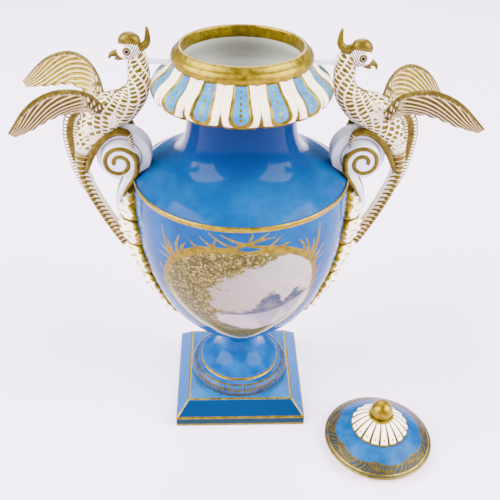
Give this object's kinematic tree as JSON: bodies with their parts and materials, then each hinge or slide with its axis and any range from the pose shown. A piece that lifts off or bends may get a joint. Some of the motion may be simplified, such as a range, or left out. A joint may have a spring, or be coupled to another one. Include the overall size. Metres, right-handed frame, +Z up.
{
  "type": "lidded vase",
  "caption": "Turquoise porcelain urn vase on a square plinth, with bird handles, a gilt rim and a painted landscape panel; its lid lies beside it.",
  "frame": {"origin": "centre of the square plinth's underside, on the table plane", "axes": "+Z up along the vase's axis, -Y towards the painted front, bird handles on -X and +X"},
  "size_m": [0.2485, 0.1527, 0.2494],
  "materials": {
    "vase_body": "glossy turquoise glaze with gilding",
    "pedestal_foot": "glossy blue glaze with gilt lines",
    "lid": "glossy blue glaze with a gilt border"
  },
  "bodies": {
    "root": {"vase_body": "vase_body", "pedestal_foot": "pedestal_foot", "lid": "lid"}
  },
  "joints": []
}
